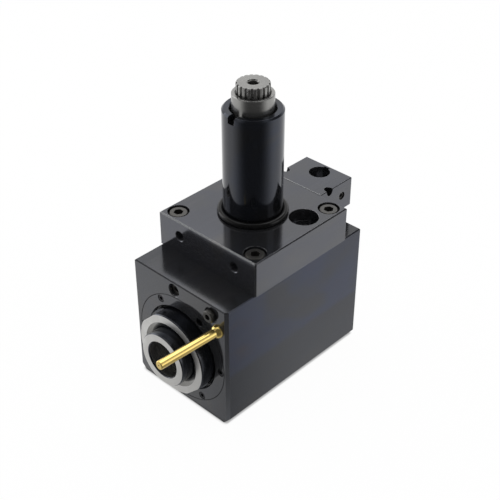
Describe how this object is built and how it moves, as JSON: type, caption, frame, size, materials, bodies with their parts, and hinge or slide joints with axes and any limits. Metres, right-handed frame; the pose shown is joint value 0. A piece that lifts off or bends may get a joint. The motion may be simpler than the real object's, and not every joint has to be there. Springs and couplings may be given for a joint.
{
  "type": "radial driven tool holder",
  "caption": "Turret-mounted driven tool holder: splined shank on a flange block, bevel gearing to a cross spindle with a collet nut, and a swivelling coolant nozzle.",
  "frame": {"origin": "on the shank's axis, in the flange face that seats on the turret", "axes": "+Z along the shank, out towards the splined drive end; -Y out of the tool spindle's nose; +X to the right, seen from the nose with the shank up"},
  "size_m": [0.088, 0.1953, 0.2137],
  "materials": {
    "housing_steel": "fine ground and blackened, satin",
    "flange_steel": "ground and blackened, semi gloss",
    "ground_steel": "ground bright",
    "nut_steel": "ground face, satin",
    "black_screw": "black oxide, oiled",
    "inner_steel": "machined",
    "bearing_steel": "ground and honed",
    "cage_plastic": "moulded",
    "black_rubber": "moulded, slight sheen",
    "nozzle_brass": "turned bright"
  },
  "bodies": {
    "casing": {"housing": "housing_steel", "flange_block": "flange_steel", "alignment_block": "flange_steel", "front_cover": "housing_steel", "rear_cover": "housing_steel", "flange_screws": "black_screw", "alignment_block_screws": "black_screw", "front_cover_screws": "black_screw", "rear_cover_screws": "black_screw", "front_seal": "black_rubber", "shank_seal": "black_rubber", "shank_ring": "black_rubber", "flange_ring": "black_rubber", "rear_cover_ring": "black_rubber", "channel_plug": "black_screw", "front_bearing_outer_rings": "bearing_steel", "rear_bearing_outer_rings": "bearing_steel", "drive_bearing_outer_rings": "bearing_steel", "drive_bearing_circlip": "inner_steel", "shank_needle_cup": "bearing_steel"},
    "spindle_unit": {"spindle": "ground_steel", "spindle_gear": "ground_steel", "spindle_gear_key": "inner_steel", "spindle_gear_circlip": "inner_steel", "spindle_lock_nut": "inner_steel", "front_bearing_inner_rings": "bearing_steel", "rear_bearing_inner_rings": "bearing_steel"},
    "drive_unit": {"drive_shaft": "ground_steel", "drive_collar": "ground_steel", "drive_pinion": "ground_steel", "drive_pinion_key": "inner_steel", "drive_pinion_circlip": "inner_steel", "drive_lock_nut": "inner_steel", "drive_bearing_inner_rings": "bearing_steel"},
    "front_balls": {"front_bearing_balls": "bearing_steel", "front_bearing_cages": "cage_plastic"},
    "rear_balls": {"rear_bearing_balls": "bearing_steel", "rear_bearing_cages": "cage_plastic"},
    "drive_balls": {"drive_bearing_balls": "bearing_steel", "drive_bearing_cages": "cage_plastic"},
    "needles": {"shank_needles": "bearing_steel", "shank_needle_cage": "bearing_steel"},
    "collet_nut": {"collet_nut": "nut_steel"},
    "nozzle": {"coolant_nozzle": "nozzle_brass"},
    "nozzle_lock": {"nozzle_lock_screw": "black_screw"},
    "alignment_left": {"alignment_screw_left": "black_screw"},
    "alignment_right": {"alignment_screw_right": "black_screw"}
  },
  "joints": [
    {"name": "spindle_spin", "type": "hinge", "parent": "casing", "child": "spindle_unit", "pos_m": [0, 0, -0.077], "axis": [0, 1, 0], "continuous": true},
    {"name": "drive_spin", "type": "hinge", "parent": "casing", "child": "drive_unit", "pos_m": [0, 0, 0], "axis": [0, 0, 1], "continuous": true},
    {"name": "front_balls_orbit", "type": "hinge", "parent": "casing", "child": "front_balls", "pos_m": [0, 0, -0.077], "axis": [0, 1, 0], "continuous": true},
    {"name": "rear_balls_orbit", "type": "hinge", "parent": "casing", "child": "rear_balls", "pos_m": [0, 0, -0.077], "axis": [0, 1, 0], "continuous": true},
    {"name": "drive_balls_orbit", "type": "hinge", "parent": "casing", "child": "drive_balls", "pos_m": [0, 0, 0], "axis": [0, 0, 1], "continuous": true},
    {"name": "needles_orbit", "type": "hinge", "parent": "casing", "child": "needles", "pos_m": [0, 0, 0], "axis": [0, 0, 1], "continuous": true},
    {"name": "collet_nut_turn", "type": "hinge", "parent": "spindle_unit", "child": "collet_nut", "pos_m": [0, 0, -0.077], "axis": [0, 1, 0], "range_deg": [0, 720]},
    {"name": "nozzle_swivel", "type": "hinge", "parent": "casing", "child": "nozzle", "pos_m": [0.035, -0.0687, -0.043], "axis": [0, 0, 1], "range_deg": [-20, 20]},
    {"name": "nozzle_lock_turn", "type": "hinge", "parent": "casing", "child": "nozzle_lock", "pos_m": [0.029, -0.0672, -0.0333], "axis": [0, -1, 0], "range_deg": [0, 360]},
    {"name": "alignment_left_travel", "type": "slide", "parent": "casing", "child": "alignment_left", "axis": [1, 0, 0], "range_m": [0, 0.003]},
    {"name": "alignment_right_travel", "type": "slide", "parent": "casing", "child": "alignment_right", "axis": [-1, 0, 0], "range_m": [0, 0.003]}
  ],
  "couplings": [
    {"joint": "drive_spin", "follows": "spindle_spin", "ratio": 1},
    {"joint": "front_balls_orbit", "follows": "spindle_spin", "ratio": 0.4306},
    {"joint": "rear_balls_orbit", "follows": "spindle_spin", "ratio": 0.3984},
    {"joint": "drive_balls_orbit", "follows": "spindle_spin", "ratio": 0.3974},
    {"joint": "needles_orbit", "follows": "spindle_spin", "ratio": 0.4493}
  ]
}
